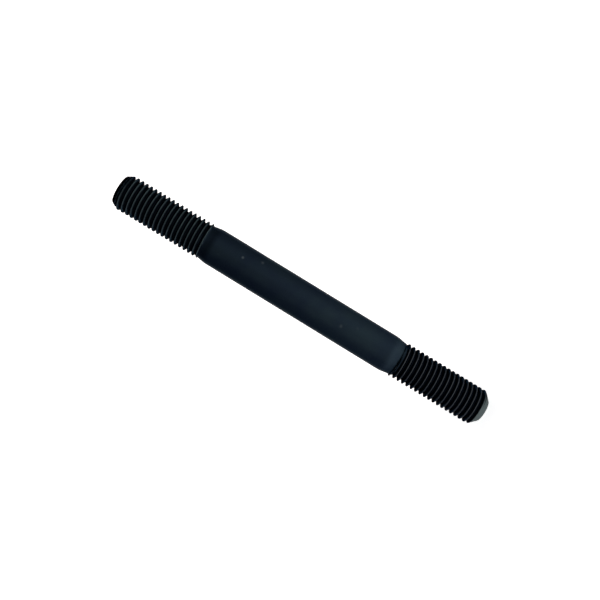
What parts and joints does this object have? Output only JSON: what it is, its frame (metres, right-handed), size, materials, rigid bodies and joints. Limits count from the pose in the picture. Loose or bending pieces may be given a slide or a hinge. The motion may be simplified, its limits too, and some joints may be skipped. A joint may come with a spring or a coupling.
{
  "type": "double ended stud",
  "caption": "Straight steel stud with a full-size plain shank and a right-hand screw thread on each end, for clamping two parts between a nut and a tapped hole or another nut.",
  "frame": {"origin": "middle of the lower end face, which is the smaller of the two end faces", "axes": "+Z along the stud's axis towards the larger end face; +X and +Y across it"},
  "size_m": [0.019, 0.019, 0.2095],
  "materials": {
    "blackened_steel": "steel with a black oxide finish, oiled, satin and a little worn on the thread crests"
  },
  "bodies": {
    "root": {"stud": "blackened_steel"}
  },
  "joints": []
}
